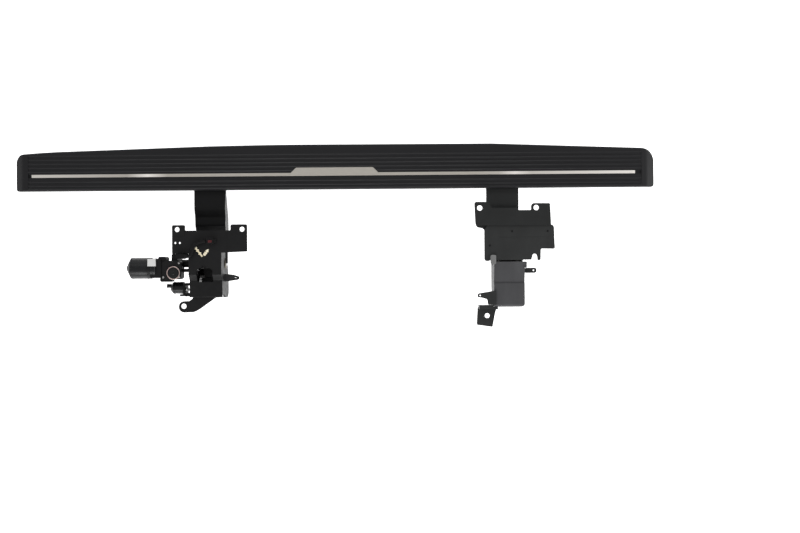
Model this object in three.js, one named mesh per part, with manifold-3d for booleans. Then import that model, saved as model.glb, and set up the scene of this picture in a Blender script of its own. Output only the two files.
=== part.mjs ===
import * as THREE from 'three';
import { mergeVertices } from 'three/addons/utils/BufferGeometryUtils.js';
import Module from 'manifold-3d';

const wasm = await Module();
wasm.setup();

// Millimetres. X runs along the step, Y outboard, Z up. Z = 0 is the face of the mounting pads.
const GAP = 0.3;
const SHEET = 5;

// Linkage, seen along X as [Y, Z]. Both brackets share these pivots.
const LINK_LENGTH = 98;
const REST_ANGLE = THREE.MathUtils.degToRad(158);
const DRIVE_PIVOT = [-66, -66];
const IDLER_PIVOT = [-18, -78];
const LINK_REACH = [LINK_LENGTH * Math.cos(REST_ANGLE), -LINK_LENGTH * Math.sin(REST_ANGLE)];
const DRIVE_KNUCKLE = [DRIVE_PIVOT[0] + LINK_REACH[0], DRIVE_PIVOT[1] + LINK_REACH[1]];
const IDLER_KNUCKLE = [IDLER_PIVOT[0] + LINK_REACH[0], IDLER_PIVOT[1] + LINK_REACH[1]];
const SHAFT_RADIUS = 9;
const PIN_RADIUS = 7;
const PIN_HEAD = 11;
const PIN_HEAD_DEPTH = 3;
const ARM_HEAD_DEPTH = 1.6;
const ARM_SIDE_GAP = 2.5;
const BUSH_WALL = 3.5;

// Step board.
const BOARD_LEFT = -589;
const BOARD_RIGHT = 1331;
const BOARD_INNER = 154;
const BOARD_TOP = -27;
const BOARD_DEEP = 26;
const BOARD_EDGE_ROUND = 5;
const CAP_LENGTH = 40;
const INNER_CORNER = 8;
const LEFT_CORNER = 28;
const RIGHT_CORNER = 42;
const WIDTH_LEFT = 112;
const WIDTH_RIGHT = 117.5;
const WIDTH_POINTS = [[126, 118], [396, 127], [666, 133], [936, 135], [1431, 133.6]];
const RIB_PLACES = [7, 16.5, 28.5, 58.5, 70.5, 82.5, 94.5];
const RIB_HIGH = 1.4;
const RIB_CREST = 3;
const RIB_FOOT = 7;
const STRIP_NEAR = 40.3;
const STRIP_FAR = 49.3;
const STRIP_MARGIN_LEFT = 50;
const STRIP_MARGIN_RIGHT = 59;
const STRIP_DEEP = 3;
const PLATE_BASE = [229, 510];
const PLATE_CREST = [254.5, 485.5];
const PLATE_FAR = 65;
const CHAMBERS = [[8, 35], [42, 71], [77, 100]];

// Drive bracket.
const PAD_HIGH = 1;
const CHANNEL = [-65, 33];
const WINDOW = [-42, 6, -122, -77];

// Gear unit.
const MOTOR_AXIS = [-79.5, -34];
const CAN_RADIUS = 31.9;
const CAN_LEFT = -242;
const CAN_RIGHT = -189;
const WHEEL_SPOT = [-113.5, -94.3];
const OUTPUT_TIP = 23.5;

// Passive bracket.
const LEAD_RADIUS = 5.5;
const LEAD_ROUTE = [
  [-65.3, -45, 6.5], [-61, -44.8, 6.5], [-56, -39, 7], [-52, -28, 8], [-46, -15, 9], [-36, -6, 9], [-22, -1, 9],
  [-11, 0, 9],
];
const PASSIVE_CHEEKS = [852, 932];

const DARK_STEEL = paint('drive_steel', 0x232325, 0.55, 0.3);
const PASSIVE_STEEL = paint('passive_steel', 0x2e2e30, 0.55, 0.3);
const BOARD_PAINT = paint('board_black', 0x2d2d2f, 0.7, 0.1);
const TRIM = paint('trim_champagne', 0xaaa494, 0.35, 0.9);
const BARE_STEEL = paint('bare_steel', 0xa9a9a9, 0.35, 0.9);
const CAST_BLACK = paint('cast_black', 0x303032, 0.5, 0.4);
const GREY_CAN = paint('motor_grey', 0x323234, 0.4, 0.5);
const COVER_PLASTIC = paint('cover_plastic', 0x3b3b3d, 0.65, 0);
const BOX_PLASTIC = paint('box_plastic', 0x4d4d50, 0.6, 0);
const RUBBER = paint('rubber_black', 0x1b1b1c, 0.85, 0);
const BRASS = paint('brass', 0xb08d3c, 0.35, 0.9);
const COPPER = paint('copper_ring', 0xc98f84, 0.35, 0.8);
const CREAM = paint('clip_cream', 0xe9dfc4, 0.55, 0);
const RED = paint('lock_red', 0x9c2a2e, 0.45, 0);
const NATURAL = paint('clip_grey', 0xc9c9c9, 0.5, 0);

const part = new THREE.Group();

function paint(name, color, roughness, metalness) {
  const material = new THREE.MeshStandardMaterial({ color, roughness, metalness });
  material.name = name;
  return material;
}

function solid(geometry) {
  geometry.deleteAttribute('normal');
  geometry.deleteAttribute('uv');
  const merged = mergeVertices(geometry, 1e-4);
  const mesh = new wasm.Mesh({
    numProp: 3,
    vertProperties: new Float32Array(merged.attributes.position.array),
    triVerts: new Uint32Array(merged.index.array),
  });
  return new wasm.Manifold(mesh);
}

function put(name, body, material) {
  const mesh = body.getMesh();
  const geometry = new THREE.BufferGeometry();
  geometry.setAttribute('position', new THREE.BufferAttribute(new Float32Array(mesh.vertProperties), 3));
  geometry.setIndex(new THREE.BufferAttribute(new Uint32Array(mesh.triVerts), 1));
  geometry.computeVertexNormals();
  const made = new THREE.Mesh(geometry, material);
  made.name = name;
  part.add(made);
}

// Outline from corners [a, b, radius]. A corner without a radius stays sharp, and one too big for its sides shrinks.
function outline(corners) {
  const path = new THREE.Shape();
  const points = corners.map(([a, b]) => new THREE.Vector2(a, b));
  corners.forEach(([, , wanted = 0], i) => {
    const here = points[i];
    const last = points[(i + points.length - 1) % points.length];
    const next = points[(i + 1) % points.length];
    const back = last.clone().sub(here).normalize();
    const ahead = next.clone().sub(here).normalize();
    const half = Math.acos(THREE.MathUtils.clamp(back.dot(ahead), -1, 1)) / 2;
    const room = 0.49 * Math.min(here.distanceTo(last), here.distanceTo(next));
    const run = Math.min(wanted / Math.tan(half), room);
    const radius = run * Math.tan(half);
    const from = here.clone().addScaledVector(back, run);
    if (i === 0) path.moveTo(from.x, from.y);
    else path.lineTo(from.x, from.y);
    if (!radius) return;
    const middle = back.clone().add(ahead).normalize();
    const centre = here.clone().addScaledVector(middle, radius / Math.sin(half));
    const to = here.clone().addScaledVector(ahead, run);
    const start = Math.atan2(from.y - centre.y, from.x - centre.x);
    const end = Math.atan2(to.y - centre.y, to.x - centre.x);
    const clockwise = back.cross(ahead) > 0;
    path.absarc(centre.x, centre.y, radius, start, end, clockwise);
  });
  path.closePath();
  return path;
}

function prism(shape, length, options = {}) {
  return new THREE.ExtrudeGeometry(shape, { depth: length, bevelEnabled: false, curveSegments: 2, ...options });
}

// Outline in [Y, Z] drawn out from x0 to x1.
function alongX(shape, x0, x1, options) {
  const geometry = prism(shape, x1 - x0, options);
  geometry.applyMatrix4(new THREE.Matrix4().makeBasis(
    new THREE.Vector3(0, 1, 0), new THREE.Vector3(0, 0, 1), new THREE.Vector3(1, 0, 0)));
  geometry.translate(x0, 0, 0);
  return solid(geometry);
}

// Outline in [X, Z] drawn out from y0 to y1.
function alongY(shape, y0, y1, options) {
  const geometry = prism(shape, y1 - y0, options);
  geometry.applyMatrix4(new THREE.Matrix4().makeBasis(
    new THREE.Vector3(1, 0, 0), new THREE.Vector3(0, 0, 1), new THREE.Vector3(0, -1, 0)));
  geometry.translate(0, y1, 0);
  return solid(geometry);
}

// Outline in [X, Y] drawn out from z0 to z1.
function alongZ(shape, z0, z1, options) {
  const geometry = prism(shape, z1 - z0, options);
  geometry.translate(0, 0, z0);
  return solid(geometry);
}

function block(x0, x1, y0, y1, z0, z1, round = 0) {
  return alongZ(outline([[x0, y0, round], [x1, y0, round], [x1, y1, round], [x0, y1, round]]), z0, z1);
}

// Round bar on an X axis at [Y, Z].
function barX(x0, x1, [y, z], radius, end = radius, sides = 24) {
  const geometry = new THREE.CylinderGeometry(end, radius, x1 - x0, sides);
  geometry.rotateZ(-Math.PI / 2);
  geometry.translate((x0 + x1) / 2, y, z);
  return solid(geometry);
}

// Round bar on a Z axis at [X, Y].
function barZ([x, y], z0, z1, radius, top = radius, sides = 24) {
  const geometry = new THREE.CylinderGeometry(top, radius, z1 - z0, sides);
  geometry.rotateX(Math.PI / 2);
  geometry.translate(x, y, (z0 + z1) / 2);
  return solid(geometry);
}

function join(...bodies) {
  return bodies.reduce((sum, body) => sum.add(body));
}

function cut(body, ...tools) {
  return tools.reduce((rest, tool) => rest.subtract(tool), body);
}

// Toothed disc outline around the origin.
function teeth(count, root, tip) {
  const shape = new THREE.Shape();
  for (let i = 0; i < count * 4; i += 1) {
    const angle = ((i + (i % 2 ? 0.2 : -0.2)) / (count * 4)) * 2 * Math.PI;
    const radius = i % 4 < 2 ? tip : root;
    const spot = [radius * Math.cos(angle), radius * Math.sin(angle)];
    if (i === 0) shape.moveTo(...spot);
    else shape.lineTo(...spot);
  }
  shape.closePath();
  return shape;
}

// ---------------------------------------------------------------- board

function boardPlan() {
  const left = BOARD_LEFT;
  const right = BOARD_RIGHT;
  const near = BOARD_INNER;
  const shape = new THREE.Shape();
  shape.moveTo(right - INNER_CORNER, near);
  shape.absarc(right - INNER_CORNER, near + INNER_CORNER, INNER_CORNER, -Math.PI / 2, 0, false);
  shape.lineTo(right, near + WIDTH_RIGHT - RIGHT_CORNER);
  shape.absarc(right - RIGHT_CORNER, near + WIDTH_RIGHT - RIGHT_CORNER, RIGHT_CORNER, 0, Math.PI / 2, false);
  const far = WIDTH_POINTS.map(([u, width]) => new THREE.Vector2(left + u, near + width)).reverse();
  shape.lineTo(far[0].x, far[0].y);
  shape.splineThru([...far.slice(1), new THREE.Vector2(left + LEFT_CORNER, near + WIDTH_LEFT)]);
  shape.absarc(left + LEFT_CORNER, near + WIDTH_LEFT - LEFT_CORNER, LEFT_CORNER, Math.PI / 2, Math.PI, false);
  shape.lineTo(left, near + INNER_CORNER);
  shape.absarc(left + INNER_CORNER, near + INNER_CORNER, INNER_CORNER, Math.PI, Math.PI * 1.5, false);
  shape.closePath();
  return shape;
}

function boardBlank() {
  return alongZ(boardPlan(), BOARD_TOP - BOARD_DEEP + BOARD_EDGE_ROUND, BOARD_TOP + RIB_HIGH - BOARD_EDGE_ROUND, {
    bevelEnabled: true,
    bevelThickness: BOARD_EDGE_ROUND,
    bevelSize: BOARD_EDGE_ROUND,
    bevelOffset: -BOARD_EDGE_ROUND,
    bevelSegments: 2,
    curveSegments: 5,
  });
}

// Cross section in [Y, Z] with its ribs and the groove for the trim.
function ribbedSection() {
  const near = BOARD_INNER;
  const points = [[near - 1, BOARD_TOP - BOARD_DEEP - 1], [near - 1, BOARD_TOP]];
  const groove = [
    [near + STRIP_NEAR - GAP, BOARD_TOP],
    [near + STRIP_NEAR - GAP, BOARD_TOP - STRIP_DEEP],
    [near + STRIP_FAR + GAP, BOARD_TOP - STRIP_DEEP],
    [near + STRIP_FAR + GAP, BOARD_TOP],
  ];
  RIB_PLACES.forEach((place) => {
    if (place > STRIP_FAR && !points.includes(groove[0])) points.push(...groove);
    points.push([near + place - RIB_FOOT / 2, BOARD_TOP]);
    points.push([near + place - RIB_CREST / 2, BOARD_TOP + RIB_HIGH]);
    points.push([near + place + RIB_CREST / 2, BOARD_TOP + RIB_HIGH]);
    points.push([near + place + RIB_FOOT / 2, BOARD_TOP]);
  });
  points.push([near + 103, BOARD_TOP], [near + 106, BOARD_TOP + RIB_HIGH], [near + 140, BOARD_TOP + RIB_HIGH]);
  points.push([near + 140, BOARD_TOP - BOARD_DEEP - 1]);
  return outline(points.reverse());
}

function namePlateOutline(grow) {
  const near = BOARD_INNER + STRIP_NEAR - grow;
  const far = BOARD_INNER + PLATE_FAR + grow;
  return outline([
    [PLATE_BASE[0] - grow, near], [PLATE_BASE[1] + grow, near],
    [PLATE_CREST[1] + grow, far, 8], [PLATE_CREST[0] - grow, far, 8],
  ]);
}

function buildBoard() {
  const blank = boardBlank();
  const start = BOARD_LEFT + CAP_LENGTH;
  const end = BOARD_RIGHT - CAP_LENGTH;
  const section = alongX(ribbedSection(), start, end);
  const platePocket = alongZ(namePlateOutline(GAP), BOARD_TOP - STRIP_DEEP, BOARD_TOP + 5);
  const chambers = CHAMBERS.map(([a, b]) => block(
    start - 1, end + 1, BOARD_INNER + a, BOARD_INNER + b, BOARD_TOP - BOARD_DEEP + 4, BOARD_TOP - 7));
  put('board', cut(blank.intersect(section), platePocket, ...chambers), BOARD_PAINT);

  const drop = BOARD_TOP + RIB_HIGH;
  const low = BOARD_TOP - BOARD_DEEP;
  const leftSide = outline([
    [BOARD_LEFT, low], [start - GAP, low], [start - GAP, drop], [BOARD_LEFT + 22, drop - 2, 30],
    [BOARD_LEFT, drop - 13],
  ]);
  put('end_cap_left', blank.intersect(alongY(leftSide, 140, 300)), BOARD_PAINT);
  const rightSide = outline([
    [end + GAP, low], [BOARD_RIGHT, low], [BOARD_RIGHT, drop - 13], [BOARD_RIGHT - 22, drop - 2, 30],
    [end + GAP, drop],
  ]);
  put('end_cap_right', blank.intersect(alongY(rightSide, 140, 300)), BOARD_PAINT);

  const plateHole = alongZ(namePlateOutline(GAP), BOARD_TOP - 10, BOARD_TOP + 10);
  const strip = (x0, x1) => cut(block(
    x0, x1, BOARD_INNER + STRIP_NEAR, BOARD_INNER + STRIP_FAR, BOARD_TOP - STRIP_DEEP + GAP, BOARD_TOP + 1), plateHole);
  put('trim_strip_left', strip(BOARD_LEFT + STRIP_MARGIN_LEFT, (PLATE_BASE[0] + PLATE_CREST[0]) / 2), TRIM);
  put('trim_strip_right', strip((PLATE_BASE[1] + PLATE_CREST[1]) / 2, BOARD_RIGHT - STRIP_MARGIN_RIGHT), TRIM);
  put('name_plate', alongZ(namePlateOutline(0), BOARD_TOP - STRIP_DEEP + GAP, BOARD_TOP + 1.4), TRIM);
}

// ---------------------------------------------------------------- linkage

// Link from pivot to knuckle with a hub at each end, as X ranges [hub0, hub1] and [web0, web1].
function link(pivot, knuckle, hub, web, radii, bores) {
  const [y0, z0] = pivot;
  const [y1, z1] = knuckle;
  const length = Math.hypot(y1 - y0, z1 - z0);
  const along = [(y1 - y0) / length, (z1 - z0) / length];
  const side = [-along[1], along[0]];
  const waist = [radii[0] * 0.78, radii[1] * 0.82];
  const webShape = outline([
    [y0 + side[0] * waist[0], z0 + side[1] * waist[0]],
    [y1 + side[0] * waist[1], z1 + side[1] * waist[1]],
    [y1 - side[0] * waist[1], z1 - side[1] * waist[1]],
    [y0 - side[0] * waist[0], z0 - side[1] * waist[0]],
  ]);
  return cut(
    join(alongX(webShape, web[0], web[1]), barX(hub[0], hub[1], pivot, radii[0]), barX(hub[0], hub[1], knuckle, radii[1])),
    barX(hub[0] - 1, hub[1] + 1, pivot, bores[0]),
    barX(hub[0] - 1, hub[1] + 1, knuckle, bores[1]),
  );
}

// Pin with a riveted head outside each of the two walls [x0, x1].
function pin(x0, x1, spot, radius, head = PIN_HEAD_DEPTH) {
  return join(
    barX(x0 - head, x1 + head, spot, radius),
    barX(x0 - head - GAP, x0 - GAP, spot, PIN_HEAD),
    barX(x1 + GAP, x1 + head + GAP, spot, PIN_HEAD),
  );
}

// Goose-neck arm. Each place is [x0, x1, y]: inside the channel, just clear of it, and at the board.
function swingArm(inside, clear, atBoard) {
  const wall = SHEET;
  const far = BOARD_INNER + 108;
  const top = BOARD_TOP - BOARD_DEEP - GAP;
  const [by, bz] = DRIVE_KNUCKLE;
  const [dy, dz] = IDLER_KNUCKLE;
  const sideWall = outline([
    [far, top], [100, top, 30], [74, top - 12, 20], [48, top - 15, 14], [12, -99, 12], [dy + 20, -101, 10],
    [by + 4, bz + 15, 6], [by - 15, bz + 8, 8], [by - 13, bz - 12, 8], [dy - 12, dz - 17, 10],
    [dy + 14, dz - 21, 14], [24, -130, 30], [70, -116, 30], [146, top - 12, 20], [far, top - 8],
  ]);
  const skin = outline([
    [far, top], [100, top, 30], [74, top - 12, 20], [48, top - 15, 14], [12, -99, 14], [dy, dz - 16, 10],
    [dy - 8, dz - 16], [dy - 8, dz - 22], [dy, dz - 22, 12], [8, -106, 18], [44, top - 22, 18],
    [72, top - 19, 20], [98, top - 7, 30], [far, top - 7],
  ]);
  const edge = (side, inset) => [
    [inside[side] + inset, -200], [inside[side] + inset, inside[2]], [clear[side] + inset, clear[2]],
    [atBoard[side] + inset, atBoard[2]], [atBoard[side] + inset, far],
  ];
  const band = (from, to) => alongZ(outline([...from, ...to.reverse()]), -200, 0);
  const x0 = Math.min(inside[0], clear[0], atBoard[0]) - 1;
  const x1 = Math.max(inside[1], clear[1], atBoard[1]) + 1;
  const walls = alongX(sideWall, x0, x1);
  const body = join(
    walls.intersect(band(edge(0, wall), edge(0, 0))),
    walls.intersect(band(edge(1, 0), edge(1, -wall))),
    alongX(skin, x0, x1).intersect(band(edge(1, 0), edge(0, 0))),
  );
  const holes = [DRIVE_KNUCKLE, IDLER_KNUCKLE].map((spot) => barX(x0, x1, spot, PIN_RADIUS + GAP));
  return cut(body, ...holes);
}

// ---------------------------------------------------------------- drive bracket

function cheekOutline() {
  return outline([
    [28, -2], [28, -40, 12], [0, -92, 16], [-34, -94, 12], [-118, -122, 20], [-170, -122, 22], [-170, -70, 8],
    [-160, -50, 8], [-160, -17], [-116, -17], [-101, -2],
  ]);
}

function buildDriveBracket() {
  const [x0, x1] = CHANNEL;
  const plate = outline([
    [-113.5, -37.5, 2], [45, -34.5], [45, -67, 2], [52, -67, 2], [52, -34.2], [110, -32, 3], [110, 49, 4],
    [61, 49, 5], [61, 31.5, 3], [-75, 31.5, 3], [-75, 48, 4], [-113, 48, 4],
  ]);
  const rightPad = outline([[52, -31, 3], [109, -31, 3], [109, 48, 4], [62, 48, 4], [62, 30.5, 3], [52, 30.5, 3]]);
  const leftPad = outline([[-112, 16, 3], [-76, 16, 3], [-76, 47, 4], [-112, 47, 4]]);
  const roof = outline([
    [-30, -PAD_HIGH], [-30, -SHEET - PAD_HIGH], [-103, -SHEET - PAD_HIGH, 6], [-118, -16 - SHEET, 6],
    [-168, -16 - SHEET], [-168, -16, 4], [-116, -16, 5], [-101, -PAD_HIGH, 5],
  ].reverse());
  const cheek = cheekOutline();
  const body = join(
    alongZ(plate, -SHEET - PAD_HIGH, -PAD_HIGH),
    alongZ(rightPad, -SHEET, 0),
    alongZ(leftPad, -SHEET, 0),
    alongX(roof, x0, x1),
    alongX(cheek, x0, x0 + SHEET),
    alongX(cheek, x1 - SHEET, x1),
  );
  const [w0, w1, v0, v1] = WINDOW;
  const window = alongZ(outline([
    [w0, v0, 4], [w1, v0, 4], [w1, v1 - 10, 6], [(w0 + w1) / 2, v1 + 8, 22], [w0, v1 - 10, 6],
  ]), -30, 5);
  put('drive_bracket', cut(
    body,
    window,
    barZ([-98, 35], -10, 5, 7.5),
    barZ([95, 34.5], -10, 5, 7.5),
    barZ([-104, -5], -10, 5, 3.2, 3.2, 12),
    barZ([-90.5, -5], -10, 5, 3.2, 3.2, 12),
    barX(x0 - 1, x1 + 1, DRIVE_PIVOT, SHAFT_RADIUS + BUSH_WALL + GAP),
    barX(x0 - 1, x1 + 1, IDLER_PIVOT, PIN_RADIUS + GAP),
  ), DARK_STEEL);

  const tail = outline([
    [-99, -179.5, 15], [-99, -214, 19], [-52, -212, 24], [-36, -203, 10], [16, -166], [16, -140], [-56, -140],
    [-56, -170, 8], [-68, -179, 6],
  ]);
  put('tail_flange', cut(
    alongZ(tail, -26 - GAP, -21 - GAP),
    barZ([-84.3, -194.3], -40, 0, 8),
  ), DARK_STEEL);

  const tab = outline([
    [CHANNEL[1] + GAP, -98, 2], [60, -101, 8], [79, -107, 4], [76, -116, 4], [56, -119, 8],
    [CHANNEL[1] + GAP, -122, 2],
  ].reverse());
  put('harness_tab', cut(alongZ(tab, -54, -50), block(64, 69, -110.9, -109.7, -60, -40, 0.5)), DARK_STEEL);
}

function bush(x0, x1, flangeSide) {
  const body = barX(x0, x1, DRIVE_PIVOT, SHAFT_RADIUS + BUSH_WALL);
  const flange = flangeSide < 0
    ? barX(x0 - 2, x0, DRIVE_PIVOT, SHAFT_RADIUS + 7)
    : barX(x1, x1 + 2, DRIVE_PIVOT, SHAFT_RADIUS + 7);
  return cut(join(body, flange), barX(x0 - 9, x1 + 9, DRIVE_PIVOT, SHAFT_RADIUS + GAP));
}

function buildDriveLinkage() {
  const [x0, x1] = CHANNEL;
  const middle = (x0 + x1) / 2;
  put('shaft_bush_left', bush(x0 - GAP, x0 + SHEET, -1), BRASS);
  put('shaft_bush_right', bush(x1 - SHEET, x1 + GAP, 1), BRASS);
  put('drive_shaft', barX(-120.7, x1 + 5, DRIVE_PIVOT, SHAFT_RADIUS), BARE_STEEL);

  const arm = link(
    DRIVE_PIVOT, DRIVE_KNUCKLE, [middle - 26, middle + 26], [middle - 15, middle + 15], [17, 14.5],
    [SHAFT_RADIUS + GAP, PIN_RADIUS + GAP]);
  const lug = cut(
    block(middle - 24, middle + 18, -128, -110, -92, -68, 4),
    barZ([middle + 8, -121.5], -76, -60, 3.5, 3.5, 16),
  );
  put('drive_arm', join(arm, lug), CAST_BLACK);

  put('idler_link', link(
    IDLER_PIVOT, IDLER_KNUCKLE, [middle - 22, middle + 22], [middle - 9, middle + 9], [12, 12],
    [PIN_RADIUS + GAP, PIN_RADIUS + GAP]), CAST_BLACK);
  put('idler_pin', pin(x0, x1, IDLER_PIVOT, PIN_RADIUS), BARE_STEEL);

  const armWalls = [x0 + SHEET + ARM_SIDE_GAP, x1 - SHEET - ARM_SIDE_GAP];
  put('swing_arm', swingArm([...armWalls, 26], [-58, 33, 36], [-57, 38, 150]), CAST_BLACK);
  put('arm_pin', pin(...armWalls, DRIVE_KNUCKLE, PIN_RADIUS, ARM_HEAD_DEPTH), BARE_STEEL);
  put('arm_idler_pin', pin(...armWalls, IDLER_KNUCKLE, PIN_RADIUS, ARM_HEAD_DEPTH), BARE_STEEL);
}

// ---------------------------------------------------------------- gear unit

function buildGearUnit() {
  const [my, mz] = MOTOR_AXIS;
  const [wx, wy] = WHEEL_SPOT;
  const body = join(
    block(-152, -100, -113.5, -57.5, -97, -22, 9),
    block(-120, -91, -113.5, -57.5, -62, -22, 9),
  );
  const bulge = block(wx - 9, wx + 9, -62, -37, -97, -32, 5);
  const cavity = join(
    block(-145, -103, -108.5, -64, -91.5, -20, 6),
    block(-120, -97, -108.5, -64, -56, -20, 6),
  );
  const wheelSpace = block(wx - 7.5, wx + 7.5, -80, -41, -91.5, -37);
  const neck = block(-183, -150, -109, -52, -60, -12, 6);
  const flange = barX(-188.7, -182, MOTOR_AXIS, CAN_RADIUS);
  const bump = block(-160, -136, -60, -45, -60, -20, 6);
  const shoulder = block(-158, -120, -121, -104, -60, -34, 5);
  const ear = block(-93, CHANNEL[0] - GAP, -92, -82, -60, -45, 2);
  put('gearbox_housing', cut(
    join(body, bulge, neck, flange, bump, shoulder, ear, barX(-108, -91, DRIVE_PIVOT, SHAFT_RADIUS + 3)),
    cavity,
    wheelSpace,
    barX(-195, -140, MOTOR_AXIS, 8),
    barX(-107, -85, DRIVE_PIVOT, SHAFT_RADIUS + GAP),
  ), CAST_BLACK);
  put('gearbox_cover', cut(
    block(-152, -91, -113.5, -57.5, -22 + GAP, -17, 9),
    barZ(WHEEL_SPOT, -30, -10, 16),
    block(-183 - GAP, -150 + GAP, -109 - GAP, -52 + GAP, -60, -10, 6),
    block(-160 - GAP, -136 + GAP, -60 - GAP, -45, -60, -10, 6),
  ), CAST_BLACK);
  put('shaft_sleeve', cut(
    barX(-91 + GAP, CHANNEL[0] - 3, DRIVE_PIVOT, SHAFT_RADIUS + 3),
    barX(-95, CHANNEL[0], DRIVE_PIVOT, SHAFT_RADIUS + GAP),
  ), CAST_BLACK);
  put('cover_ring', cut(
    barZ(WHEEL_SPOT, -17 + GAP, -13, 20.2, 19.8, 32),
    barZ(WHEEL_SPOT, -20, -10, 17, 17, 32),
  ), COPPER);
  put('round_cover', join(
    barZ(WHEEL_SPOT, -17 + GAP, -11, 16.7, 16, 32),
    barZ(WHEEL_SPOT, -21, -15, 15.5),
  ), GREY_CAN);

  put('motor_can', cut(
    barX(CAN_LEFT, CAN_RIGHT, MOTOR_AXIS, CAN_RADIUS, CAN_RADIUS, 32),
    barX(CAN_LEFT - 1, CAN_RIGHT + 1, MOTOR_AXIS, CAN_RADIUS - 2.5),
  ), GREY_CAN);
  put('motor_end_cap', join(
    barX(CAN_LEFT - 10, CAN_LEFT - GAP, MOTOR_AXIS, CAN_RADIUS - 17, CAN_RADIUS, 32),
    barX(CAN_LEFT - 14, CAN_LEFT - 10, MOTOR_AXIS, 8, 11),
  ), GREY_CAN);
  put('armature', join(
    barX(CAN_LEFT + 6, CAN_RIGHT - 8, MOTOR_AXIS, 24),
    barX(CAN_LEFT + 2, -100, MOTOR_AXIS, 3.2, 3.2, 12),
    barX(-130, -101, MOTOR_AXIS, 4.3, 4.3, 12),
  ), BARE_STEEL);

  const wheel = alongZ(teeth(18, 8.6, 10.2), mz - 5, mz + 5).translate([wx, wy, 0]);
  put('worm_shaft', join(
    wheel,
    barZ(WHEEL_SPOT, -90, -24, 3.2, 3.2, 12),
    barZ(WHEEL_SPOT, -82, -50, 5, 5, 12),
  ), BRASS);
  const output = alongX(teeth(24, OUTPUT_TIP - 3, OUTPUT_TIP - 1.6), wx - 6, wx + 6)
    .translate([0, DRIVE_PIVOT[0], DRIVE_PIVOT[1]]);
  put('output_wheel', cut(output, barX(-130, -80, DRIVE_PIVOT, SHAFT_RADIUS + GAP)), BRASS);

  const unit = [-140, -74];
  put('damper_body', join(
    barX(-127, -94, unit, 17.5, 18.5),
    barX(-134, -127, unit, 9, 17.5),
    barX(-146, -132, [-134, -72], 6),
  ), GREY_CAN);
  put('damper_flange', join(
    block(-94 + GAP, -86, -164, -125.5, -95, -52, 2),
    block(-88, CHANNEL[0] - GAP, -166, -156, -95, -54, 2),
    block(-88, CHANNEL[0] - GAP, -133, -125.5, -95, -54, 2),
    block(-112, -88, -166, -160, -97, -90, 2),
  ), CAST_BLACK);
  put('damper_bolt', join(
    barX(-86 + GAP, -79, [-145, -62], 7, 7, 6),
    barX(-80, -72, [-145, -62], 3.5, 3.5, 12),
  ), BARE_STEEL);
}

// ---------------------------------------------------------------- pigtail

function lead(points, radius) {
  const path = new THREE.CatmullRomCurve3(points.map((p) => new THREE.Vector3(...p)));
  const ring = new THREE.Shape();
  ring.absarc(0, 0, radius, 0, 2 * Math.PI, false);
  return solid(new THREE.ExtrudeGeometry(ring, { extrudePath: path, steps: 18, curveSegments: 5, bevelEnabled: false }));
}

function buildPigtail() {
  put('lead_boot', join(
    block(-102, -72, -52.5, -37.9, -17, 9, 7),
    block(-103, -69, -50, -30, -17, -SHEET - PAD_HIGH - GAP, 3),
    barX(-76, -66, [-45, 6.5], 6),
  ), RUBBER);
  put('pigtail', lead(LEAD_ROUTE, LEAD_RADIUS),
    RUBBER);
  put('lead_connector', join(
    block(-8.4, 12, -9, 9, -PAD_HIGH + GAP, 15, 3),
    block(8, 19, -5, 6, 1, 11, 2),
  ), RUBBER);
  put('connector_lock', block(-3, 8, -5, 2, 15 + GAP, 17, 1), RED);
  put('lead_clip_1', clip([-45, -18], [-23, -46]), CREAM);
  put('lead_clip_2', clip([-18.5, -42], [-5, -25]), CREAM);
}

// Push-in clip lying flat between two spots [X, Y], with two pairs of barbs.
function clip(from, to) {
  const along = new THREE.Vector2(to[0] - from[0], to[1] - from[1]);
  const turn = THREE.MathUtils.radToDeg(along.angle());
  const length = along.length();
  const stem = block(0, length, -2.2, 2.2, 0, 2.6, 1);
  const barbs = [0.3, 0.62].map((place) => block(length * place, length * place + 4, -4.6, 4.6, 0, 2, 0.8));
  const head = barZ([3, 0], 0, 3.4, 4.4, 3.6, 12);
  return join(stem, head, ...barbs).rotate([0, 0, turn]).translate([from[0], from[1], -PAD_HIGH + GAP]);
}

// ---------------------------------------------------------------- passive side

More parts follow.
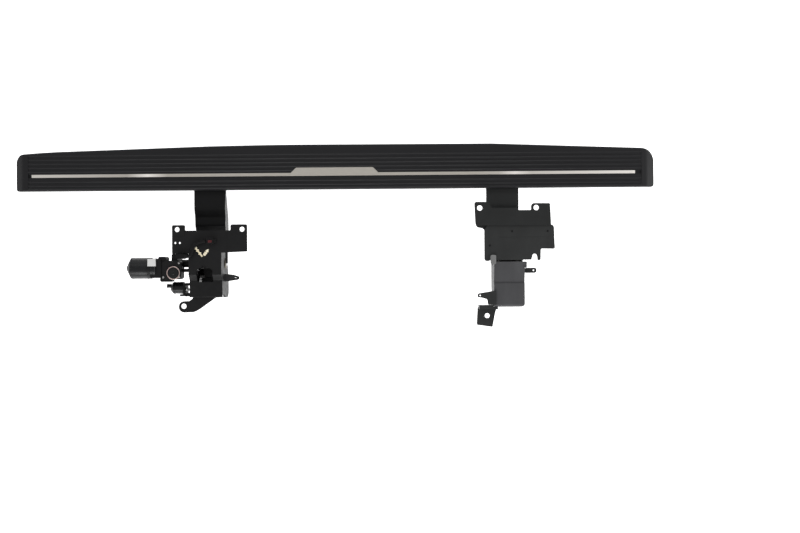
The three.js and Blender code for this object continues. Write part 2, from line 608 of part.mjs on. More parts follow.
function buildPassiveBracket() {
  const [x0, x1] = PASSIVE_CHEEKS;
  const plate = outline([
    [790, 40, 8], [1015, 40, 2], [1012, 105, 4], [956, 105.5, 9], [956, 85, 3], [918, 85, 3], [914, 92, 3],
    [836, 92, 3], [832, 110, 2], [787, 110.5, 6],
  ]);
  const lower = outline([
    [60, 0], [60, -SHEET], [48, -SHEET, 3], [43, -12 - SHEET, 3], [-64, -12 - SHEET], [-64, -12], [44, -12, 4],
    [49, 0, 4],
  ].reverse());
  const cheek = outline([
    [34, -13], [34, -44, 12], [0, -92, 16], [-34, -96, 12], [-80, -96, 20], [-150, -62, 10], [-156, -36],
    [-112, -31], [-66, -20], [-62, -13],
  ]);
  const body = join(
    alongZ(plate, -SHEET, 0),
    alongX(lower, 790, 1012).intersect(alongZ(outline([
      [820, -20, 10], [x0, -20], [x0, -64], [x1, -64], [x1, -20], [1012, -20, 10], [1012, 60], [792, 60],
      [792, 36, 10], [812, 32, 6], [820, 24, 4],
    ]), -40, 10)),
    alongX(cheek, x0, x0 + SHEET),
    alongX(cheek, x1 - SHEET, x1),
    block(x0, x1, -152, -116, -36 - SHEET, -36),
  );
  put('passive_bracket', cut(
    body,
    barZ([803, 92], -10, 5, 8.2),
    barZ([971, 92], -10, 5, 8.2),
    barX(x0 - 1, x1 + 1, DRIVE_PIVOT, SHAFT_RADIUS + GAP),
    barX(x0 - 1, x1 + 1, IDLER_PIVOT, PIN_RADIUS + GAP),
  ), PASSIVE_STEEL);

  const cover = outline([
    [816.5, 28, 4], [816.5, -66, 9], [830, -66, 6], [836, -62, 4], [956, -63, 3], [959.5, -52, 4],
    [961, -45.5, 5], [971, -45.5, 5], [974, -54, 3], [975, -64.5, 2], [984, -64.5, 3], [985, -30, 4],
    [1027, -31, 4], [1024.5, 38, 8], [1016, 42, 3], [826, 42, 3], [820, 32, 4],
  ].reverse());
  put('passive_cover', alongZ(cover, -12 + GAP, -8), COVER_PLASTIC);
}


function buildPassiveLinkage() {
  const [x0, x1] = PASSIVE_CHEEKS;
  const middle = (x0 + x1) / 2;
  put('passive_shaft', pin(x0, x1, DRIVE_PIVOT, SHAFT_RADIUS), BARE_STEEL);
  put('passive_link', link(
    DRIVE_PIVOT, DRIVE_KNUCKLE, [middle - 24, middle + 24], [middle - 12, middle + 12], [16, 14],
    [SHAFT_RADIUS + GAP, PIN_RADIUS + GAP]), CAST_BLACK);
  put('passive_idler_link', link(
    IDLER_PIVOT, IDLER_KNUCKLE, [middle - 20, middle + 20], [middle - 8, middle + 8], [12, 12],
    [PIN_RADIUS + GAP, PIN_RADIUS + GAP]), CAST_BLACK);
  put('passive_idler_pin', pin(x0, x1, IDLER_PIVOT, PIN_RADIUS), BARE_STEEL);
  const armWalls = [x0 + SHEET + ARM_SIDE_GAP, x1 - SHEET - ARM_SIDE_GAP];
  put('passive_swing_arm', swingArm([...armWalls, 40], [830, 925, 84], [827.5, 924.5, 150]), PASSIVE_STEEL);
  put('passive_arm_pin', pin(...armWalls, DRIVE_KNUCKLE, PIN_RADIUS, ARM_HEAD_DEPTH), BARE_STEEL);
  put('passive_arm_idler_pin', pin(...armWalls, IDLER_KNUCKLE, PIN_RADIUS, ARM_HEAD_DEPTH), BARE_STEEL);
}

function buildPassiveCovers() {
  const outer = outline([
    [-68, -12], [-68, -112, 6], [-150, -112, 20], [-204, -62, 16], [-204, -28, 8], [-198, -22, 5],
    [-133, -22, 2], [-129.5, -25.5, 2], [-126, -25, 3],
  ].reverse());
  const inner = outline([
    [-60, -14.5], [-60, -124], [-200.5, -124], [-200.5, -31, 4], [-196, -26, 3], [-134, -26], [-130, -29],
    [-126, -28.5],
  ].reverse());
  const cornerRound = outline([
    [846, -60], [846, -204, 4], [938, -204, 10], [938, -79], [944.5, -79, 3], [944.5, -60],
  ]);
  const ear = block(936, 943.5, -86.5, -68, -44, -13.5, 2);
  put('box_cover', cut(
    join(alongX(outer, 846, 938).intersect(alongZ(cornerRound, -150, 0)), ear),
    alongX(inner, 849.5, 934.5),
    barX(840, 950, DRIVE_PIVOT, PIN_HEAD + 3),
  ), BOX_PLASTIC);
  put('right_tab', cut(
    block(938 + GAP, 976, -102.5, -87, -44, -40, 6),
    barZ([967, -94.8], -50, -30, 2.4, 2.4, 12),
  ), PASSIVE_STEEL);
  put('left_tab', cut(
    alongZ(outline([
      [796, -163, 5], [815.8, -159.8, 6], [852.4, -153.7, 3], [852.4, -198, 2], [827, -196, 4], [825, -181, 5],
      [812, -176, 5], [796, -174, 5],
    ].reverse()), -22 + GAP, -17.7),
    barZ([803.8, -168.8], -30, -10, 2.2, 2.2, 12),
  ), PASSIVE_STEEL);
  put('end_lug', cut(
    join(
      alongZ(outline([
        [800, -204.4, 5], [797, -259.5, 3], [845, -266.5, 3], [853.5, -222, 5], [858, -210], [858, -204.4, 1],
      ]), -74, -69),
      block(802, 844.5, -206, -198.6, -74, -26, 1),
      block(802, 858, -211, -204.4, -74, -26, 1),
    ),
    barZ([829, -232], -80, -60, 7.6),
  ), PASSIVE_STEEL);
  put('clip_block', block(834, 850.8, -76, -47.5, -8 + GAP, -2, 5), NATURAL);
}

buildBoard();
buildDriveBracket();
buildDriveLinkage();
buildGearUnit();
buildPigtail();
buildPassiveBracket();
buildPassiveLinkage();
buildPassiveCovers();

export default part;
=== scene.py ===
import math

import bmesh
import bpy
from mathutils import Matrix, Vector


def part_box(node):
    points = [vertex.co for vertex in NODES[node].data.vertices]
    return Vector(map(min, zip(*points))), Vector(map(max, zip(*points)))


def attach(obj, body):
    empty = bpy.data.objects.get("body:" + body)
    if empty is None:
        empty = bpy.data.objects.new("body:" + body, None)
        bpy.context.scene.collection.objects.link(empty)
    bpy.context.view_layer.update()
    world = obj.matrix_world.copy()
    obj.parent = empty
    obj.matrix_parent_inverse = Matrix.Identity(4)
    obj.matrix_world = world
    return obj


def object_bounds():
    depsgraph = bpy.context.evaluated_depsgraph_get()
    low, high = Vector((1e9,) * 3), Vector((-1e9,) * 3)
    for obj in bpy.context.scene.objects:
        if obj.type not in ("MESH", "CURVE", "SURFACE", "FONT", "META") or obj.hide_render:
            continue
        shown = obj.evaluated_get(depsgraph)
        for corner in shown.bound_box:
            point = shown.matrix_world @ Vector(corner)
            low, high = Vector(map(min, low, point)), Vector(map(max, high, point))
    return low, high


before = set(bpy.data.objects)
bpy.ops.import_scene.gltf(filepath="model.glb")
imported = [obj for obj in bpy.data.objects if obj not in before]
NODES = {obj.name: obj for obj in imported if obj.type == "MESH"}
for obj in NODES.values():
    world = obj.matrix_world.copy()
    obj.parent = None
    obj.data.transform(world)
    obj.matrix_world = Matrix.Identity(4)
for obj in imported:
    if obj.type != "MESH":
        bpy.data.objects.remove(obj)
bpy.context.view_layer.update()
MM = 0.001

# ---------------------------------------------------------------- camera

# Straight down over the middle of the step, turned a little about the line of sight.
CAMERA_SPOT = (0.5644, -0.0802, 2.825)
CAMERA_TURN = math.radians(-0.45)
FOCAL = 42.75


def add_camera():
    data = bpy.data.cameras.new("camera")
    data.lens = FOCAL
    data.sensor_width = 36.0
    data.clip_end = 50.0
    camera = bpy.data.objects.new("camera", data)
    camera.location = CAMERA_SPOT
    camera.rotation_euler = (0.0, 0.0, CAMERA_TURN)
    bpy.context.scene.collection.objects.link(camera)
    bpy.context.scene.camera = camera


# ---------------------------------------------------------------- shader helpers

# How sharp an edge is where its paler wear and painted highlight begin and where they are full, from 0.5 on a
# flat face upwards.
EDGE_WEAR_AND_HIGHLIGHT = (0.64, 0.82)
# Painted highlights on the trim strips: where along the step each is centred, how far it reaches, both in
# metres, and how strong it is.
TRIM_PAINTED_HIGHLIGHTS = ((-0.191, 0.06, 1.0), (0.912, 0.05, 0.8), (1.28, 0.5, 0.8), (-0.56, 0.3, 0.5))


def linear(value):
    value /= 255.0
    return value / 12.92 if value <= 0.04045 else ((value + 0.055) / 1.055) ** 2.4


def colour(red, green, blue):
    return (linear(red), linear(green), linear(blue), 1.0)


def lighter(shade, step):
    return colour(*[min(255, value + step) for value in shade])


class Shader:
    """A node material built on object coordinates, in metres."""

    def __init__(self, name):
        self.material = bpy.data.materials.new(name)
        self.material.use_nodes = True
        self.tree = self.material.node_tree
        self.surface = self.tree.nodes["Principled BSDF"]
        self.coordinates = self.tree.nodes.new("ShaderNodeTexCoord").outputs["Object"]

    def node(self, kind, **settings):
        made = self.tree.nodes.new(kind)
        for key, value in settings.items():
            setattr(made, key, value)
        return made

    def link(self, source, target):
        self.tree.links.new(source, target)

    def scaled(self, scale):
        mapping = self.node("ShaderNodeMapping")
        mapping.inputs["Scale"].default_value = scale
        self.link(self.coordinates, mapping.inputs["Vector"])
        return mapping.outputs["Vector"]

    def noise(self, scale, detail=3.0, stretch=(1.0, 1.0, 1.0), roughness=0.55):
        texture = self.node("ShaderNodeTexNoise")
        texture.inputs["Scale"].default_value = scale
        texture.inputs["Detail"].default_value = detail
        texture.inputs["Roughness"].default_value = roughness
        self.link(self.scaled(stretch), texture.inputs["Vector"])
        return texture.outputs["Fac"]

    def ramp(self, source, stops):
        made = self.node("ShaderNodeValToRGB")
        ramp = made.color_ramp
        while len(ramp.elements) < len(stops):
            ramp.elements.new(0.5)
        for element, (place, value) in zip(ramp.elements, stops):
            element.position = place
            element.color = value if isinstance(value, tuple) else (value, value, value, 1.0)
        self.link(source, made.inputs["Fac"])
        return made.outputs["Color"]

    def mix(self, factor, low, high):
        made = self.node("ShaderNodeMix", data_type="RGBA")
        for socket, value in ((made.inputs[0], factor), (made.inputs[6], low), (made.inputs[7], high)):
            if isinstance(value, bpy.types.NodeSocket):
                self.link(value, socket)
            else:
                socket.default_value = value
        return made.outputs[2]

    def shade(self, source, low, high, dark, light, most=1.0):
        """Goes from dark to light while source rises from low to high, but no further than most."""
        return self.mix(self.ramp(source, [(low, 0.0), (high, most)]), dark, light)

    def maths(self, operation, first, second):
        made = self.node("ShaderNodeMath", operation=operation)
        for socket, value in zip(made.inputs, (first, second)):
            if isinstance(value, bpy.types.NodeSocket):
                self.link(value, socket)
            else:
                socket.default_value = value
        return made.outputs[0]

    def bump(self, height, strength, distance, under=None):
        made = self.node("ShaderNodeBump")
        made.inputs["Strength"].default_value = strength
        made.inputs["Distance"].default_value = distance
        self.link(height, made.inputs["Height"])
        if under is not None:
            self.link(under, made.inputs["Normal"])
        return made.outputs["Normal"]

    def worn_and_highlit_edges(self, base, pale):
        """Turns base to pale on the sharpest outer edges, as edge wear and painted highlight together."""
        pointed = self.node("ShaderNodeNewGeometry").outputs["Pointiness"]
        return self.shade(pointed, *EDGE_WEAR_AND_HIGHLIGHT, base, pale)

    def finish(self, base, rough, normal=None, metallic=0.0, specular=0.5):
        for key, value in (("Base Color", base), ("Roughness", rough)):
            if isinstance(value, bpy.types.NodeSocket):
                self.link(value, self.surface.inputs[key])
            else:
                self.surface.inputs[key].default_value = value
        self.surface.inputs["Metallic"].default_value = metallic
        self.surface.inputs["Specular IOR Level"].default_value = specular
        if normal is not None:
            self.link(normal, self.surface.inputs["Normal"])
        return self.material


def coated(name, dark, light, rough, grain=900.0, grain_depth=0.00012, specular=0.35):
    """Powder coat: fine orange peel, broad cloudy tone, dust in the tone and paler edges that are part wear,
    part painted highlight.
    """
    s = Shader(name)
    cloud = s.noise(9.0, 4.0)
    base = s.shade(cloud, 0.3, 0.72, colour(*dark), colour(*light))
    fine = s.noise(grain, 2.0)
    base = s.shade(fine, 0.35, 0.75, base, lighter(light, 16), 0.25)
    base = s.worn_and_highlit_edges(base, lighter(light, 26))
    roughness = s.ramp(s.noise(60.0, 3.0), [(0.3, rough - 0.08), (0.7, rough + 0.08)])
    normal = s.bump(fine, 0.35, grain_depth)
    normal = s.bump(s.noise(grain / 9.0, 2.0), 0.25, grain_depth * 3.0, normal)
    return s.finish(base, roughness, normal, specular=specular)


def brushed(name, dark, light, rough, along):
    """Brushed metal: long fine lines in tone, roughness and height."""
    s = Shader(name)
    lines = s.noise(45.0, 5.0, along, 0.7)
    cloud = s.noise(3.2, 3.0)
    base = s.shade(lines, 0.3, 0.7, colour(*dark), colour(*light))
    base = s.shade(cloud, 0.45, 0.75, base, lighter(light, 40), 0.6)
    roughness = s.ramp(lines, [(0.25, rough - 0.08), (0.75, rough + 0.1)])
    return s.finish(base, roughness, s.bump(lines, 0.25, 0.00008), metallic=1.0)


def moulded(name, dark, light, rough, grain=1400.0, specular=0.4):
    """Moulded plastic: fine leather-like grain with faint flow marks."""
    s = Shader(name)
    cells = s.node("ShaderNodeTexVoronoi")
    cells.inputs["Scale"].default_value = grain
    s.link(s.coordinates, cells.inputs["Vector"])
    flow = s.noise(14.0, 5.0, (1.0, 0.4, 1.0))
    base = s.shade(flow, 0.3, 0.7, colour(*dark), colour(*light))
    # Paler sharpest edges, partly wear and partly painted highlight.
    base = s.worn_and_highlit_edges(base, lighter(light, 20))
    roughness = s.ramp(s.noise(90.0, 2.0), [(0.3, rough - 0.06), (0.7, rough + 0.06)])
    return s.finish(base, roughness, s.bump(cells.outputs["Distance"], 0.3, 0.0001), specular=specular)


def board_coat():
    """Textured black coat with faint drawing lines along the step and pale scuffs on the ribs."""
    s = Shader("board_coat")
    cloud = s.noise(2.2, 4.0)
    base = s.shade(cloud, 0.35, 0.7, colour(15, 15, 17), colour(20, 20, 22))
    lines = s.noise(30.0, 4.0, (0.4, 30.0, 30.0), 0.7)
    base = s.shade(lines, 0.35, 0.75, base, colour(28, 28, 31), 0.35)
    speck = s.noise(1500.0, 2.0)
    base = s.shade(speck, 0.52, 0.75, base, colour(44, 44, 47), 0.35)
    roughness = s.ramp(lines, [(0.3, 0.42), (0.75, 0.62)])
    normal = s.bump(speck, 0.4, 0.00012)
    normal = s.bump(lines, 0.15, 0.0001, normal)
    return s.finish(base, roughness, normal, specular=0.26)


def trim_metal():
    """Champagne anodised strip, brushed along the step, with painted highlights: lighter stretches in its
    colour where the light catches it.
    """
    s = Shader("trim_brushed_painted_highlights")
    lines = s.noise(45.0, 5.0, (1.0, 60.0, 60.0), 0.7)
    base = s.shade(lines, 0.3, 0.7, colour(164, 160, 153), colour(190, 184, 175))
    parts = s.node("ShaderNodeSeparateXYZ")
    s.link(s.coordinates, parts.inputs["Vector"])
    # Each painted highlight lightens the colour towards near-white around its centre along the step.
    for centre, spread, strength in TRIM_PAINTED_HIGHLIGHTS:
        away = s.maths("ABSOLUTE", s.maths("SUBTRACT", parts.outputs["X"], centre), 0.0)
        painted_highlight = s.ramp(s.maths("DIVIDE", away, spread), [(0.0, strength), (1.0, 0.0)])
        base = s.mix(painted_highlight, base, colour(246, 242, 236))
    roughness = s.ramp(lines, [(0.25, 0.3), (0.75, 0.46)])
    return s.finish(base, roughness, s.bump(lines, 0.25, 0.00008), metallic=0.35)


def floor_paint():
    s = Shader("floor_paint")
    tone = s.noise(1.3, 2.0)
    base = s.shade(tone, 0.3, 0.7, colour(250, 250, 250), colour(254, 254, 254))
    s.surface.inputs["Emission Color"].default_value = (1.0, 1.0, 1.0, 1.0)
    s.surface.inputs["Emission Strength"].default_value = 0.85
    return s.finish(base, 0.9, specular=0.0)


MATERIALS = {
    "board": board_coat(),
    "trim": trim_metal(),
    "drive_steel": coated("drive_coat", (8, 8, 9), (14, 14, 15), 0.5, specular=0.26),
    "arm_steel": coated("arm_coat", (5, 5, 6), (10, 10, 11), 0.4, specular=0.22),
    "passive_steel": coated("passive_coat", (24, 25, 25), (31, 32, 32), 0.52, specular=0.26),
    # A lighter copy of the passive coat: painted light that brightens the passive arm, left tab and end lug
    # where they lie in shade.
    "passive_arm": coated("passive_coat_painted_lighter", (33, 34, 34), (41, 42, 42), 0.5, specular=0.26),
    "casting": coated("casting_coat", (8, 8, 9), (15, 15, 16), 0.5, 420.0, 0.0004, specular=0.26),
    "can": coated("can_paint", (12, 13, 15), (18, 19, 21), 0.3, grain=1200.0, specular=0.34),
    "bare": brushed("bare_zinc", (120, 120, 122), (172, 172, 170), 0.36, (8.0, 8.0, 8.0)),
    "brass": brushed("machined_brass", (132, 104, 48), (186, 152, 84), 0.34, (6.0, 30.0, 6.0)),
    "oiled": brushed("oiled_bronze", (62, 56, 46), (92, 84, 68), 0.45, (6.0, 30.0, 6.0)),
    "copper": brushed("ring_copper", (214, 178, 172), (240, 214, 208), 0.3, (8.0, 8.0, 8.0)),
    "cover": moulded("cover_grain", (30, 31, 31), (40, 41, 41), 0.55, specular=0.3),
    "box": moulded("box_grain", (54, 54, 56), (68, 68, 70), 0.5, specular=0.3),
    "rubber": moulded("rubber_grain", (9, 9, 10), (15, 15, 16), 0.65, 700.0, specular=0.2),
    "cream": moulded("cream_nylon", (224, 208, 168), (244, 236, 214), 0.45, 500.0),
    "red": moulded("red_nylon", (62, 14, 18), (88, 22, 26), 0.4, 500.0),
    "natural": moulded("natural_nylon", (104, 104, 104), (122, 122, 122), 0.45, 500.0),
    "label": moulded("blank_label", (200, 200, 200), (216, 216, 214), 0.4, 300.0),
}

# ---------------------------------------------------------------- CAD nodes

NODE_FINISH = {
    "board": ("board", "end_cap_left", "end_cap_right"),
    "trim": ("trim_strip_left", "trim_strip_right", "name_plate"),
    "drive_steel": ("drive_bracket", "tail_flange", "harness_tab"),
    "arm_steel": ("swing_arm",),
    "passive_steel": ("passive_bracket", "right_tab"),
    # Passive arm, left tab and end lug take the lighter copy of the passive coat, which is painted light.
    "passive_arm": ("passive_swing_arm", "left_tab", "end_lug"),
    "casting": ("motor_end_cap", "drive_arm", "idler_link", "gearbox_housing", "gearbox_cover",
                "damper_flange", "passive_link", "passive_idler_link", "shaft_sleeve"),
    "can": ("round_cover", "motor_can", "damper_body"),
    "bare": ("drive_shaft", "idler_pin", "arm_pin", "arm_idler_pin", "armature", "damper_bolt",
             "passive_shaft", "passive_idler_pin", "passive_arm_pin", "passive_arm_idler_pin"),
    "brass": ("worm_shaft", "output_wheel"),
    "oiled": ("shaft_bush_left", "shaft_bush_right"),
    "copper": ("cover_ring",),
    "cover": ("passive_cover",),
    "box": ("box_cover",),
    "rubber": ("lead_boot", "pigtail", "lead_connector"),
    "red": ("connector_lock",),
    "cream": ("lead_clip_1", "lead_clip_2"),
    "natural": ("clip_block",),
}
EDGE_ROUND = {"board": 0.0006, "trim_strip_left": 0.0004, "trim_strip_right": 0.0004, "drive_bracket": 0.0012,
              "passive_bracket": 0.0012, "swing_arm": 0.0016, "passive_swing_arm": 0.0016, "box_cover": 0.002,
              "gearbox_housing": 0.0016, "drive_arm": 0.0016, "end_cap_left": 0.001, "end_cap_right": 0.001}
USUAL_ROUND = 0.0008


def split_edges(obj):
    """Keeps flat faces flat, shading only gentle curves smooth."""
    split = obj.modifiers.new("split", "EDGE_SPLIT")
    split.split_angle = math.radians(20.0)
    split.use_edge_sharp = False


def soften(obj, width):
    """Weld, join flat faces, round the sharp edges and shade the rest smooth."""
    obj.data.polygons.foreach_set("use_smooth", [True] * len(obj.data.polygons))
    weld = obj.modifiers.new("weld", "WELD")
    weld.merge_threshold = 0.00001
    flat = obj.modifiers.new("flat", "DECIMATE")
    flat.decimate_type = "DISSOLVE"
    flat.angle_limit = math.radians(0.6)
    bevel = obj.modifiers.new("edge", "BEVEL")
    bevel.width = width
    bevel.segments = 2
    bevel.limit_method = "ANGLE"
    bevel.angle_limit = math.radians(32.0)
    bevel.use_clamp_overlap = True
    split_edges(obj)
    even = obj.modifiers.new("even", "WEIGHTED_NORMAL")
    even.mode = "FACE_AREA"
    even.weight = 100


def dress_nodes():
    for finish, names in NODE_FINISH.items():
        for name in names:
            obj = NODES[name]
            obj.data.materials.clear()
            obj.data.materials.append(MATERIALS[finish])
            soften(obj, EDGE_ROUND.get(name, USUAL_ROUND))


# ---------------------------------------------------------------- detail pieces

# Sizes and places of the pieces made here, in mm.
GEAR_SCREW = {"radius": 3.4, "height": 2.2}
GEAR_SCREW_INSET = 7.0
GEAR_SCREW_INSET_RIGHT = 6.0
DISH_PROFILE = ((13.0, -0.2), (13.0, 0.5), (11.6, 0.9), (6.0, 0.7), (5.0, 1.2), (3.0, 1.3))
LABEL_CORNERS = ((-187.5, -74.0), (-163.0, -51.5))
LABEL_ROOT = 4.0
LABEL_HIGH = 1.4
LABEL_FIELD_INSET = 2.5
COLLAR_PROFILE = ((28.0, -188.4), (29.8, -187.6), (29.8, -177.0), (28.8, -176.4), (28.8, -174.4),
                  (29.8, -173.8), (29.8, -166.8), (29.0, -166.0))
CRIMPS = 6
SECOND_UNIT_BANDS = (-124.0, -99.0)
LEAD_ROUTE = ((-65.3, -45, 6.5), (-61, -44.8, 6.5), (-56, -39, 7), (-52, -28, 8), (-46, -15, 9), (-36, -6, 9),
              (-22, -1, 9), (-11, 0, 9))
LEAD_RING_STEP = 3.6
LEAD_RING = ((5.2, -0.9), (6.0, -0.5), (6.0, 0.5), (5.2, 0.9))
BOARD_UNDER = -53.0
ARM_FOOT_HIGH = 7.5
BOARD_BOLT = {"flats": 13.0, "height": 7.0}
BOARD_BOLT_INSET = 18.0
BOARD_BOLT_ROWS = (186.0, 240.0)
COVER_SCREW = {"radius": 3.0, "height": 1.6}
COVER_SCREW_SPOTS = ((833.0, -20.0), (1006.0, 22.0), (900.0, 22.0))
TRIM_PIN = {"radius": 1.6, "height": 0.5}
TRIM_PIN_INSET = 4.0

def keep(name, mesh, finish, body):
    """Puts a finished bmesh into the scene as one piece that rides on a body."""
    data = bpy.data.meshes.new(name)
    bmesh.ops.recalc_face_normals(mesh, faces=mesh.faces)
    mesh.to_mesh(data)
    mesh.free()
    data.polygons.foreach_set("use_smooth", [True] * len(data.polygons))
    data.materials.append(MATERIALS[finish])
    obj = bpy.data.objects.new(name, data)
    bpy.context.scene.collection.objects.link(obj)
    bevel = obj.modifiers.new("edge", "BEVEL")
    bevel.width = 0.0002
    bevel.segments = 2
    bevel.limit_method = "ANGLE"
    bevel.angle_limit = math.radians(32.0)
    split_edges(obj)
    even = obj.modifiers.new("even", "WEIGHTED_NORMAL")
    even.weight = 100
    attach(obj, body)


def box_mm(name):
    """The lowest and the highest corner of a CAD node, in mm."""
    low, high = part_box(name)
    return [value / MM for value in low], [value / MM for value in high]


def turned(mesh, profile, spot, axis="Z", sides=32, turn=Matrix.Identity(3)):
    """Turns a profile of (radius, height) about an axis through spot, closed at both ends. All in mm."""
    rings = []
    for radius, height in profile:
        ring = []
        for k in range(sides):
            angle = 2.0 * math.pi * k / sides
            u, v = radius * math.cos(angle), radius * math.sin(angle)
            point = (u, v, height) if axis == "Z" else (height, u, v)
            ring.append(mesh.verts.new((Vector(spot) + turn @ Vector(point)) * MM))
        rings.append(ring)
    for low, high in zip(rings, rings[1:]):
        for k in range(sides):
            mesh.faces.new((low[k], low[(k + 1) % sides], high[(k + 1) % sides], high[k]))
    mesh.faces.new(rings[0][::-1])
    mesh.faces.new(rings[-1])


def slab(mesh, low, high, taper):
    """A flat-topped pad between two corners in mm whose top is drawn in by taper."""
    corners = []
    for z, inset in ((low[2], 0.0), (high[2], taper)):
        for x, y in ((low[0] + inset, low[1] + inset), (high[0] - inset, low[1] + inset),
                     (high[0] - inset, high[1] - inset), (low[0] + inset, high[1] - inset)):
            corners.append(mesh.verts.new((x * MM, y * MM, z * MM)))
    mesh.faces.new(corners[3::-1])
    mesh.faces.new(corners[4:])
    for k in range(4):
        mesh.faces.new((corners[k], corners[(k + 1) % 4], corners[4 + (k + 1) % 4], corners[4 + k]))


def pan_screw(mesh, spot, radius, height):
    """Pan head with a small raised square on its crown, standing on a face that looks up."""
    head = [(radius, 0.0), (radius, 0.35 * height), (0.82 * radius, 0.8 * height), (0.5 * radius, height)]
    turned(mesh, head, spot, sides=24)
    turned(mesh, [(0.32 * radius, 0.9 * height), (0.24 * radius, 1.12 * height)], spot, sides=4)


def hanging_bolt(mesh, spot, flats, height):
    """Flanged hexagon head with a chamfered crown, hanging from a face that looks down."""
    radius = flats / math.sqrt(3.0)
    flange = [(radius * 1.25, 0.0), (radius * 1.22, -0.14 * height), (radius, -0.2 * height)]
    turned(mesh, flange, spot)
    head = [(radius, -0.18 * height), (radius, -0.86 * height), (0.82 * radius, -height)]
    turned(mesh, head, spot, sides=6)


def gearbox_screws():
    low, high = box_mm("gearbox_cover")
    left, right = low[0] + GEAR_SCREW_INSET, high[0] - GEAR_SCREW_INSET_RIGHT
    front, back = low[1] + GEAR_SCREW_INSET, high[1] - GEAR_SCREW_INSET
    screws = bmesh.new()
    for x, y in ((left, front), (right, front), (right, back)):
        pan_screw(screws, (x, y, high[2]), **GEAR_SCREW)
    keep("gearbox_screws", screws, "bare", "brackets")


def round_cover_dish():
    low, high = box_mm("round_cover")
    dish = bmesh.new()
    turned(dish, DISH_PROFILE, ((low[0] + high[0]) / 2.0, (low[1] + high[1]) / 2.0, high[2]))
    keep("round_cover_dish", dish, "can", "brackets")


def blank_label():
    """A blank plate with a smaller raised field, on top of the motor can."""
    top = box_mm("motor_can")[1][2]
    (x0, y0), (x1, y1) = LABEL_CORNERS
    inset = LABEL_FIELD_INSET
    label = bmesh.new()
    slab(label, (x0, y0, top - LABEL_ROOT), (x1, y1, top + LABEL_HIGH), 0.5)
    top += LABEL_HIGH
    slab(label, (x0 + inset, y0 + inset, top - 0.2), (x1 - inset, y1 - inset, top + 0.3), 0.3)
    keep("blank_label", label, "label", "brackets")


def motor_details():
    """Two swaged bands, the collar beside them and the crimps round the can's left end."""
    low, high = box_mm("motor_can")
    axis = Vector((0.0, (low[1] + high[1]) / 2.0, (low[2] + high[2]) / 2.0))
    radius = (high[1] - low[1]) / 2.0
    bands = bmesh.new()
    for x, width, swell in ((low[0] + 4.0, 2.2, 0.5), (high[0] - 5.0, 3.0, 0.6)):
        turned(bands, [(radius - 0.5, x), (radius + swell, x + 0.5), (radius + swell, x + width - 0.5),
                       (radius - 0.5, x + width)], axis, "X", 64)
    keep("motor_can_bands", bands, "can", "brackets")

    collar = bmesh.new()
    turned(collar, COLLAR_PROFILE, axis, "X", 64)
    keep("motor_collar", collar, "can", "brackets")

    crimps = bmesh.new()
    for k in range(CRIMPS):
        angle = math.pi * (2 * k + 1) / CRIMPS
        around = Vector((0.0, math.cos(angle), math.sin(angle))) * (radius - 0.4)
        spot = axis + Vector((low[0] + 1.5, 0.0, 0.0)) + around
        turned(crimps, [(2.2, 0.0), (2.4, 1.2), (1.6, 2.4)], spot, "X", 12)
    keep("motor_can_crimps", crimps, "can", "brackets")


def second_unit_bands():
    low, high = box_mm("damper_body")
    axis = (0.0, (low[1] + high[1]) / 2.0, (low[2] + high[2]) / 2.0)
    bands = bmesh.new()
    for x in SECOND_UNIT_BANDS:
        turned(bands, [(17.4, x), (19.2, x + 0.6), (19.2, x + 2.0), (17.4, x + 2.6)], axis, "X", 48)
    keep("second_unit_bands", bands, "can", "brackets")


def lead_boot_ribs():
    low, high = box_mm("lead_boot")
    ribs = bmesh.new()
    for k in range(4):
        x = low[0] + 8.0 + 5.0 * k
        slab(ribs, (x, low[1] + 1.6, high[2] - 6.5), (x + 2.2, high[1] - 1.6, high[2] - 2.9), 0.5)
    keep("lead_boot_ribs", ribs, "rubber", "brackets")


def lead_connector_ridges():
    low, high = box_mm("lead_connector")
    ridges = bmesh.new()
    for k in range(3):
        x = low[0] + 3.0 + 4.5 * k
        slab(ridges, (x, low[1] - 0.7, 2.0), (x + 1.6, high[1] + 0.7, 13.0), 0.4)
    keep("lead_connector_ridges", ridges, "rubber", "brackets")


def lead_corrugation():
    """Rings at an even step along the lead."""
    rings = bmesh.new()
    path = [Vector(point) for point in LEAD_ROUTE]
    ahead = LEAD_RING_STEP
    for start, end in zip(path, path[1:]):
        length = (end - start).length
        turn = (end - start).normalized().to_track_quat("X", "Z").to_matrix()
        while ahead < length:
            turned(rings, LEAD_RING, start.lerp(end, ahead / length), "X", 20, turn)
            ahead += LEAD_RING_STEP
        ahead -= length
    keep("lead_corrugation", rings, "rubber", "brackets")


def board_bolts():
    """Four bolts from below through the foot of each swing arm."""
    for side, name in (("drive", "swing_arm"), ("passive", "passive_swing_arm")):
        low, high = box_mm(name)
        bolts = bmesh.new()
        for x in (low[0] + BOARD_BOLT_INSET, high[0] - BOARD_BOLT_INSET):
            for y in BOARD_BOLT_ROWS:
                hanging_bolt(bolts, (x, y, BOARD_UNDER - ARM_FOOT_HIGH), **BOARD_BOLT)
        keep(f"{side}_board_bolts", bolts, "bare", "step")


def passive_cover_details():
    top = box_mm("passive_cover")[1][2]
    screws = bmesh.new()
    for x, y in COVER_SCREW_SPOTS:
        pan_screw(screws, (x, y, top), **COVER_SCREW)
    keep("cover_screws", screws, "rubber", "brackets")

    rib = bmesh.new()
    slab(rib, (862.0, 2.0, top - 0.3), (1010.0, 5.0, top + 0.5), 0.4)
    keep("cover_rib", rib, "cover", "brackets")


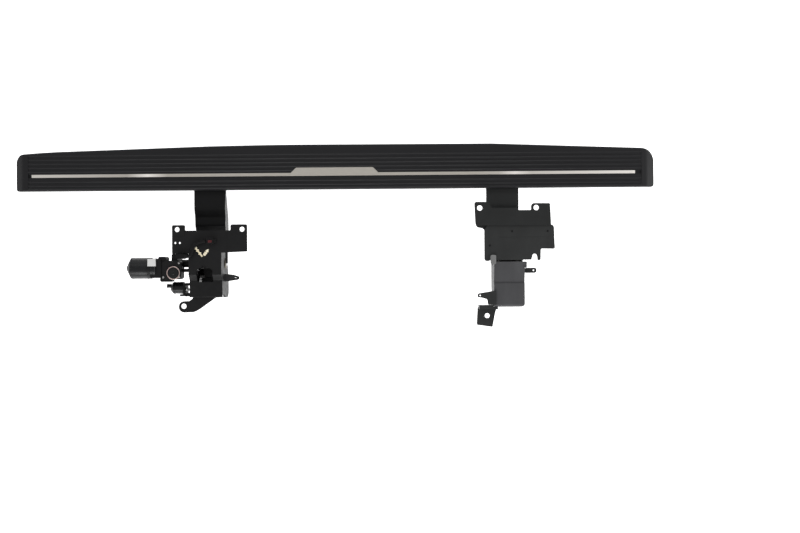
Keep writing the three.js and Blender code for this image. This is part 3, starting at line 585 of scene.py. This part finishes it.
def trim_pins():
    for side in ("left", "right"):
        low, high = box_mm(f"trim_strip_{side}")
        pins = bmesh.new()
        for x in (low[0] + TRIM_PIN_INSET, high[0] - TRIM_PIN_INSET):
            pan_screw(pins, (x, (low[1] + high[1]) / 2.0, high[2]), **TRIM_PIN)
        keep(f"trim_pins_{side}", pins, "trim", "step")


def name_plate_border():
    """Two raised lines across the blank plate, near its two long edges."""
    low, high = box_mm("name_plate")
    top = high[2]
    border = bmesh.new()
    for inset, y in ((26.0, low[1] + 3.0), (30.0, low[1] + 20.5)):
        slab(border, (low[0] + inset, y, top - 0.2), (high[0] - inset, y + 1.2, top + 0.35), 0.2)
    keep("name_plate_border", border, "trim", "step")


# ---------------------------------------------------------------- light and floor

# The floor clears the arms at the lowest point of their travel. Its sizes are in metres.
FLOOR_DROP = 0.065
FLOOR_HALF = 9.0
SKY_LOW = 0.95
SKY_TOP = 0.42


def add_floor():
    half = FLOOR_HALF
    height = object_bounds()[0][2] - FLOOR_DROP
    mesh = bpy.data.meshes.new("floor")
    corners = [(x, y, height) for x, y in ((-half, -half), (half, -half), (half, half), (-half, half))]
    mesh.from_pydata(corners, [], [(0, 1, 2, 3)])
    floor = bpy.data.objects.new("floor", mesh)
    mesh.materials.append(floor_paint())
    bpy.context.scene.collection.objects.link(floor)


def add_area(name, spot, target, size, power):
    data = bpy.data.lights.new(name, "AREA")
    data.shape = "RECTANGLE"
    data.size, data.size_y = size
    data.energy = power
    light = bpy.data.objects.new(name, data)
    light.location = spot
    light.rotation_euler = (Vector(target) - Vector(spot)).to_track_quat("-Z", "Y").to_euler()
    bpy.context.scene.collection.objects.link(light)


def add_sky(world):
    """A studio dome: bright low down, dimmer overhead."""
    tree = world.node_tree
    background = tree.nodes["Background"]
    direction = tree.nodes.new("ShaderNodeTexCoord").outputs["Generated"]
    parts = tree.nodes.new("ShaderNodeSeparateXYZ")
    tree.links.new(direction, parts.inputs["Vector"])
    height = tree.nodes.new("ShaderNodeValToRGB")
    for element, (place, value) in zip(height.color_ramp.elements, ((0.25, SKY_LOW), (0.95, SKY_TOP))):
        element.position = place
        element.color = (value, value, value, 1.0)
    tree.links.new(parts.outputs["Z"], height.inputs["Fac"])
    tree.links.new(height.outputs["Color"], background.inputs["Color"])
    background.inputs["Strength"].default_value = 1.0


def add_light():
    world = bpy.data.worlds.new("studio")
    world.use_nodes = True
    add_sky(world)
    bpy.context.scene.world = world
    add_area("key", (0.1, -2.6, 1.5), (0.3, 0.0, 0.0), (2.4, 1.0), 46.0)
    add_area("side", (2.9, -0.3, 0.9), (0.6, 0.0, 0.0), (1.0, 1.0), 22.0)
    add_area("fill", (0.2, 1.7, 2.4), (0.4, 0.1, 0.0), (2.0, 0.8), 9.0)
    bpy.context.scene.view_settings.view_transform = "Standard"


add_camera()
dress_nodes()
gearbox_screws()
round_cover_dish()
blank_label()
motor_details()
second_unit_bands()
lead_boot_ribs()
lead_connector_ridges()
lead_corrugation()
board_bolts()
passive_cover_details()
trim_pins()
name_plate_border()
add_floor()
add_light()
